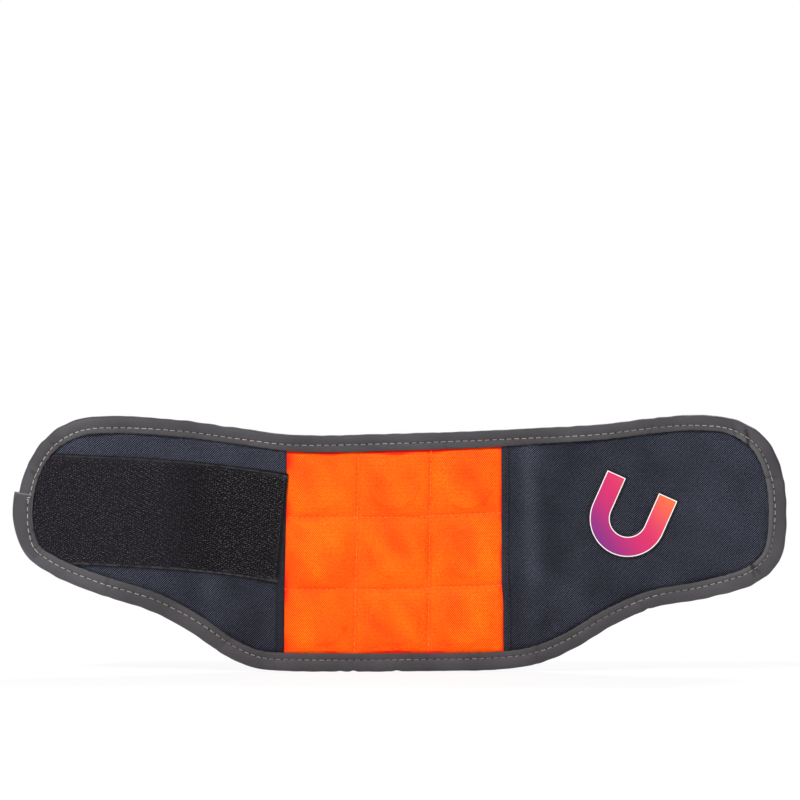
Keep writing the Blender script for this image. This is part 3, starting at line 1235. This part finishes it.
upright = hook_tips.mix(speckle.between(0.34, 0.74), (10, 9, 10), (134, 129, 131))
tips = hook_tips.mix(along.between(-106 * MM, -84 * MM), tips, upright)
flattened = along.between(-109 * MM, -97 * MM) * along.between(-78 * MM, -90 * MM)
hook_tips.paint(hook_tips.mix(flattened * 0.4, tips, (14, 12, 14)))


def tape_grid(low, high, middle):
    """A tape's columns from low to high, as high as the tape or as the binding lets it be seen."""
    x = columns(low, high, TAPE_STEP)
    under, over = edges_at(x, tape_trim)
    under, over = np.maximum(middle(x) - TAPE_WIDTH / 2, under), np.minimum(middle(x) + TAPE_WIDTH / 2, over)
    ends = np.linspace(0, TAPE_END / TAPE_WIDTH, 6)
    rows = np.concatenate((ends, np.linspace(ends[-1], 1 - ends[-1], TAPE_ROWS + 1)[1:-1], 1 - ends[::-1]))
    return grid(x, under, over, rows)


def tape_depth(x, z, middle, face, seed):
    """Depth of a tape's face: flat, with a thinner edge along each side and slow waves."""
    to_edge = TAPE_WIDTH / 2 - np.abs(z - middle(x))
    waves = 0.10 * MM * ripples(x, z * 0.5, 26 * MM, seed)
    over_hem = 0.55 * MM * ease((x - hook_end + 3.4 * MM) / (2 * MM)) * (x < 0)
    thinner = 0.22 * MM * (1 - ease((to_edge - SELVEDGE) / (0.8 * MM)))
    return face + np.sign(face) * (waves + over_hem - thinner)


def hook_tape_depth(x, z):
    """Depth of the hook tape's ground."""
    return tape_depth(x, z, hook_tape_middle, HOOK_TAPE_FRONT, 51)


x, z = tape_grid(HOOK_TAPE_START, hook_end, hook_tape_middle)
x = x + HOOK_TAPE_LEAN * (z - hook_tape_middle(x)) * ease(1 - np.abs(hook_end - x) / (24 * MM))
from_middle = z - hook_tape_middle(x)
to_edge = TAPE_WIDTH / 2 - np.abs(from_middle)
woven = ease((1.5 * MM - to_edge) / (0.4 * MM)) * (to_edge > 0.4 * MM)
edging = ease((0.35 * MM - to_edge) / (0.3 * MM)) - woven * np.where(from_middle > 0, 0.6, 1)
layer = cells(points_of(x, hook_tape_depth(x, z), z), points_of(x, TAPE_BACK, z), points_of(x, z, edging))
for piece in lay("hook_tape_ground", hook_nylon, layer, ("hook_tape",)):
    declare_sheet(piece)


def scatter(low, high, middle, across_pitch, row_pitch, stray, seed, lean=0):
    """Places on a tape in columns across it, every second one half a step up, each moved a little,
    inside the tape's woven edges. The columns lean as much as the tape slopes."""
    row_step = row_pitch / TAPE_WIDTH
    along, row = np.arange(low, high, across_pitch), np.arange(-0.5, 0.5, row_step)
    along, row = np.meshgrid(along, row, indexing="ij")
    row = row + (np.arange(len(row)) % 2)[:, None] * row_step / 2
    leaning = (lean * row * TAPE_WIDTH).ravel()
    offset = np.random.default_rng(seed).normal(0, stray, (2, row.size))
    x = along.ravel() + leaning + offset[0]
    z = middle(x) + row.ravel() * TAPE_WIDTH + offset[1]
    under, over = edges_at(x, tape_trim + 0.6 * MM)
    half = TAPE_WIDTH / 2 - SELVEDGE
    inside = (z > np.maximum(under, middle(x) - half)) & (z < np.minimum(over, middle(x) + half))
    inside &= x < high + leaning
    return x[inside], z[inside]


x, z = scatter(
    HOOK_TAPE_START, hook_end - 0.8 * MM, hook_tape_middle, HOOK_PITCH, HOOK_ROWS, HOOK_STRAY, 52,
    HOOK_TAPE_LEAN,
)
sense = np.where(np.arange(len(x)) % 2, 1, -1) * np.random.default_rng(53).uniform(0.8, 1.1, len(x))
hook_x = x[:, None] + HOOK_PATH[:, 0] * sense[:, None]
paths = points_of(hook_x, hook_tape_depth(x, z)[:, None] + 0.05 * MM - HOOK_PATH[:, 1], z[:, None])
up_axis = np.broadcast_to((0.0, 0.0, 1.0), (len(x), 3))
lay("hook_tape_hooks", hook_tips, strands(paths, up_axis, HOOK_RADIUS))

tape_x = np.linspace(hook_tip + 16 * MM, hook_end - 1 * MM, 300)
rows_of_stitches = []
for edge in (-1, 1):
    tape_z = hook_tape_middle(tape_x) + edge * (TAPE_WIDTH / 2 - 0.9 * MM)
    under, over = edges_at(tape_x, tape_trim)
    seen_part = (tape_z > under) & (tape_z < over)
    line = tape_x[seen_part], tape_z[seen_part]
    rows_of_stitches.append(sewn_line(*line, hook_tape_depth(*line), seed=54 + edge))
line_z = hook_tape_middle(hook_end) + np.linspace(-0.46, 0.46, 100) * TAPE_WIDTH
line_x = hook_end - 1.2 * MM + HOOK_TAPE_LEAN * (line_z - hook_tape_middle(hook_end))
rows_of_stitches.append(sewn_line(line_x, line_z, hook_tape_depth(line_x, line_z), seed=56))
lay("hook_tape_stitches", dark_thread, join(*rows_of_stitches))

# Loop tape: soft nylon loops brushed up from a woven ground, sewn on the wrist's side of the loop
# wing, where the hooks of the other wing can take hold.
LOOP_TAPE_MIDDLE = 14.7 * MM
LOOP_TAPE_SLOPE = 0.04
LOOP_TAPE_FACE = 0.85 * MM
LOOP_TAPE_BACK = -0.1 * MM
LOOP_RADIUS = 0.11 * MM
LOOP_REACH = 0.6 * MM
LOOP_PITCH = 1.15 * MM
LOOP_ROWS = 0.98 * MM
LOOP_STRAY = 0.35 * MM

loop_nylon = Finish(
    "loop_nylon", Roughness=0.75, Specular_IOR_Level=0.08, Sheen_Weight=0.05, Sheen_Roughness=0.5
)
fuzz = loop_nylon.noise(loop_nylon.cloth_place()[2], 900, detail=4, roughness=0.7)
loop_nylon.paint(loop_nylon.mix(fuzz.between(0.44, 0.6), (2, 2, 4), (68, 63, 73)))
loop_nylon.relief(fuzz, 0.2 * MM)


def loop_tape_middle(x):
    """The height of the loop tape's middle: a straight line that rises a little towards the tip."""
    return LOOP_TAPE_MIDDLE + LOOP_TAPE_SLOPE * (x - panel_right_edge)


def loop_tape_depth(x, z):
    """Depth of the loop tape's ground."""
    return tape_depth(x, z, loop_tape_middle, LOOP_TAPE_FACE, 61)


loop_low, loop_high = panel_right_edge + 2.2 * MM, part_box("loop_tape_loop_wing_tip")[1].x
x, z = tape_grid(loop_low, loop_high, loop_tape_middle)
layer = cells(points_of(x, LOOP_TAPE_BACK, z), points_of(x, loop_tape_depth(x, z), z))
for piece in lay("loop_tape_ground", loop_nylon, layer, ("loop_tape",)):
    declare_sheet(piece)
x, z = scatter(
    loop_low + 0.8 * MM, loop_high - 0.8 * MM, loop_tape_middle, LOOP_PITCH, LOOP_ROWS, LOOP_STRAY, 62
)
draw = np.random.default_rng(63)
turn = draw.uniform(0, 2 * np.pi, (len(x), 1))
reach = LOOP_REACH * draw.uniform(0.6, 1.15, (len(x), 1))
bow = np.linspace(0, np.pi, 6)
sideways = np.cos(bow) * reach * 0.7
paths = points_of(
    x[:, None] + np.cos(turn) * sideways,
    loop_tape_depth(x, z)[:, None] + np.sin(bow) * reach,
    z[:, None] + np.sin(turn) * sideways,
)
across = np.hstack((-np.sin(turn), np.zeros((len(x), 1)), np.cos(turn)))
lay("loop_tape_loops", loop_nylon, strands(paths, across, LOOP_RADIUS))

# Care label: a short satin ribbon folded double, its ends caught under the binding near the hook
# wing's tip. It is blank.
LABEL_WALL = 0.12 * MM
LABEL_GAP = 0.3 * MM
label_low, label_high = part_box("care_label")

satin = Finish("label_satin", Roughness=0.35, Specular_IOR_Level=0.4)
along, up, place = satin.cloth_place()
floats = up.ribs(0.28 * MM, satin.noise(place, 500))
satin.paint(satin.mix(floats, (8, 8, 10), (30, 30, 34)))
satin.relief(floats, 0.03 * MM)
label_start = label_low.x - 1.5 * MM
reach = label_high.x - label_start - LABEL_GAP
run = np.linspace(0, 1, 12) * reach
curl = np.linspace(-np.pi / 2, np.pi / 2, 9)[1:-1]
fold = np.concatenate((
    np.column_stack((run, np.zeros(len(run)))),
    np.column_stack((reach + np.cos(curl) * LABEL_GAP, LABEL_GAP + np.sin(curl) * LABEL_GAP)),
    np.column_stack((run[::-1], np.full(len(run), 2 * LABEL_GAP))),
))
label_z = np.linspace(label_low.z, label_high.z, 13)


def label_grid(profile):
    """The folded ribbon's profile along its width, its free side lifting a little off the mesh."""
    x, depth = profile[:, 0][:, None], profile[:, 1][:, None]
    across = (label_z - label_low.z) / (label_high.z - label_low.z)
    lift = 0.5 * MM * (x / reach) ** 2 * (1 + 0.5 * np.sin(across * 5))
    return points_of(label_start + x, label_low.y - 0.1 * MM + depth + lift, label_z)


label_layer = cells(
    label_grid(fold), label_grid(thicken(fold, -LABEL_WALL)), points_of(spans_of(fold)[:, None], label_z)
)
label = lay_whole("care_label_ribbon", satin, label_layer)
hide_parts("care_label")
declare_sheet(label)

# Emblem: a plain horseshoe magnet of moulded rubber, its two poles up and to the right. A black
# edge and a thin pale line frame a face that runs from magenta to orange.
EMBLEM_WIDTH = 36 * MM
ARM_WIDTH = 10.5 * MM
ARM_LENGTH = 17 * MM
EMBLEM_TILT = np.radians(24)
EMBLEM_EDGE = 0.75 * MM
PALE_LINE = 0.4 * MM
FRAME = EMBLEM_EDGE + PALE_LINE
BLEND = 0.05 * MM
emblem_front = emblem_low.y

rubber = Finish("emblem_rubber", Roughness=0.45, Specular_IOR_Level=0.3)
edge, gradient, place = rubber.cloth_place()
face = rubber.mix(gradient.between(0.05, 0.5), (108, 36, 128), (206, 38, 98))
face = rubber.mix(gradient.between(0.45, 1.0), face, (255, 122, 22))
face = rubber.mix(edge.between(FRAME + BLEND, FRAME - BLEND), face, (245, 240, 240))
rubber.paint(rubber.mix(edge.between(EMBLEM_EDGE + BLEND, EMBLEM_EDGE - BLEND), face, (16, 14, 18)))
rubber.relief(rubber.noise(rubber.node("TexCoord", {}, out=3), 1800, detail=3), 0.04 * MM)

middle_radius = (EMBLEM_WIDTH - ARM_WIDTH) / 2
arc = np.pi * middle_radius
length = 2 * ARM_LENGTH + arc
ends = np.array((0, 0.35, EMBLEM_EDGE / MM, 1.1, 1.4)) * MM
past_ends = 2.2 * MM
run = np.concatenate((ends, np.linspace(past_ends, length - past_ends, 84), length - ends[::-1]))
turned = np.clip((run - ARM_LENGTH) / middle_radius, 0, np.pi)
arm = np.where(run < ARM_LENGTH, ARM_LENGTH - run, np.maximum(run - ARM_LENGTH - arc, 0))
spine = np.column_stack((-middle_radius * np.cos(turned), arm - middle_radius * np.sin(turned)))
towards_middle = np.column_stack((np.cos(turned), np.sin(turned)))
sides = np.concatenate((ends, np.linspace(past_ends, ARM_WIDTH - past_ends, 6), ARM_WIDTH - ends[::-1]))
sides -= ARM_WIDTH / 2
flat = spine[:, None] + towards_middle[:, None] * sides[:, None]
cosine, sine = np.cos(EMBLEM_TILT), np.sin(EMBLEM_TILT)
flat = flat @ np.array(((cosine, -sine), (sine, cosine)))
flat += (emblem_middle.x, emblem_middle.z) - (flat.max(axis=(0, 1)) + flat.min(axis=(0, 1))) / 2
edge = np.minimum(np.minimum(run, length - run)[:, None], ARM_WIDTH / 2 - np.abs(sides))
crown_share = ease(edge / (0.5 * MM)) - 0.35 * hump(edge, EMBLEM_EDGE + PALE_LINE / 2, 0.3 * MM)
depth = emblem_front + 0.28 * MM * (1 - crown_share) - 0.12 * MM * ease((edge - 1.2 * MM) / (3 * MM))
x, z = flat[..., 0], flat[..., 1]
slant = (x - x.min()) / np.ptp(x) * 0.6 + (z - z.min()) / np.ptp(z) * 0.4
layer = cells(points_of(x, depth, z), points_of(x, fabric_front - 0.05 * MM, z), points_of(edge, slant))
lay("emblem_face", rubber, layer, ("emblem",))

bpy.context.view_layer.update()
